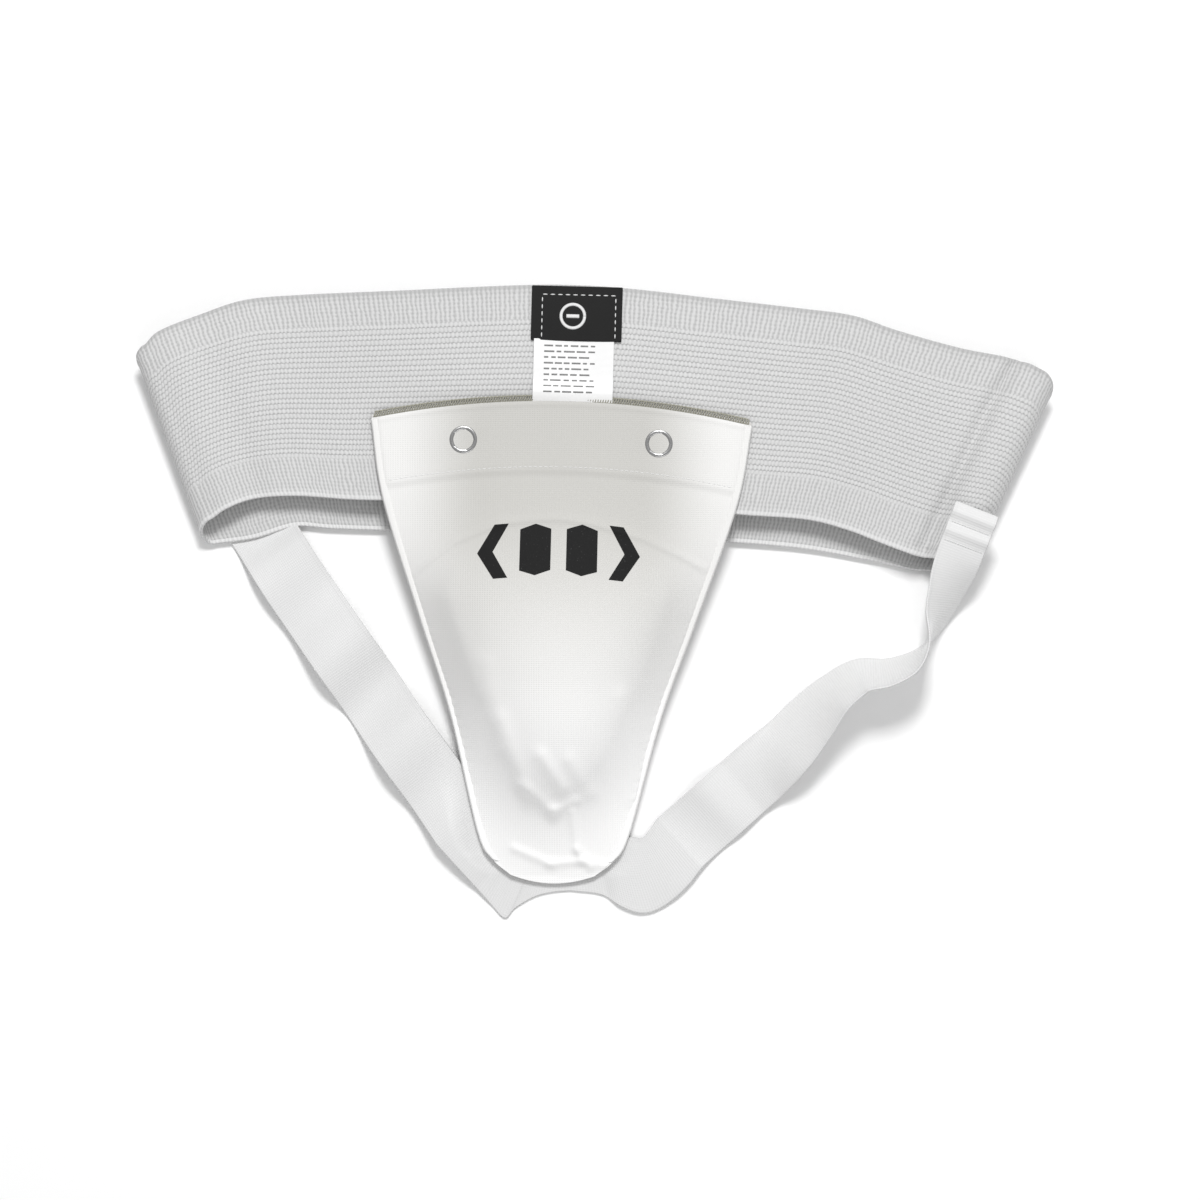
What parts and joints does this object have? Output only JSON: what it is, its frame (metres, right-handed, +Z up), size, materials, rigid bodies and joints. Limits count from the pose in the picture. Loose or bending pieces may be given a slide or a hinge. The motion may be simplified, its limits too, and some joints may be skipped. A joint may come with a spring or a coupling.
{
  "type": "groin protector",
  "caption": "Elastic supporter with a wide waistband, two leg straps and a snap-closed cotton pouch that holds a rigid protective cup, lying flat.",
  "frame": {"origin": "on the surface it lies on, under the middle of the bounding box", "axes": "+X to the wearer's left as seen from the front (the right of the front view), +Y towards the waistband's top edge, +Z up out of the front face"},
  "size_m": [0.3605, 0.2454, 0.0434],
  "materials": {
    "band_elastic": "knitted elastic, ribbed edges",
    "strap_elastic": "narrow satin elastic",
    "pouch_cotton": "white cotton knit",
    "overlock": "olive grey whipped thread",
    "black_label": "woven satin",
    "care_label": "printed satin tape",
    "thread": "polyester thread",
    "snap_metal": "bright plated",
    "cup_plastic": "moulded, fine grain",
    "cup_trim": "soft moulded edge"
  },
  "bodies": {
    "supporter": {"waistband": "band_elastic", "woven_label": "black_label", "label_stitching": "thread", "care_label": "care_label", "pouch_back_panel": "pouch_cotton", "overlocked_edge": "overlock", "pouch_front_panel": "pouch_cotton", "leg_strap_left": "strap_elastic", "leg_strap_right": "strap_elastic", "strap_tack_right": "thread", "side_binding_left": "pouch_cotton", "snap_stud_left": "snap_metal", "snap_back_ring_left": "snap_metal", "side_binding_right": "pouch_cotton", "snap_stud_right": "snap_metal", "snap_back_ring_right": "snap_metal"},
    "cup": {"cup_shell": "cup_plastic", "cup_edge_trim": "cup_trim"},
    "flap": {"mouth_hem": "pouch_cotton", "snap_cap_left": "snap_metal", "snap_cap_right": "snap_metal", "snap_socket_left": "snap_metal", "snap_socket_right": "snap_metal"}
  },
  "joints": [
    {"name": "cup_slide", "type": "slide", "parent": "supporter", "child": "cup", "axis": [0.0209, 0.9967, 0.0787], "range_m": [0, 0.118], "deforming": ["pouch_front_panel"]},
    {"name": "mouth_open", "type": "hinge", "parent": "supporter", "child": "flap", "pos_m": [-0.0153, -0.10819, 0.004], "axis": [0.9998, -0.0209, 0], "range_deg": [0, 21.7]}
  ],
  "couplings": [
    {"joint": "mouth_open", "follows": "cup_slide", "rad_per_m": 3.176}
  ]
}
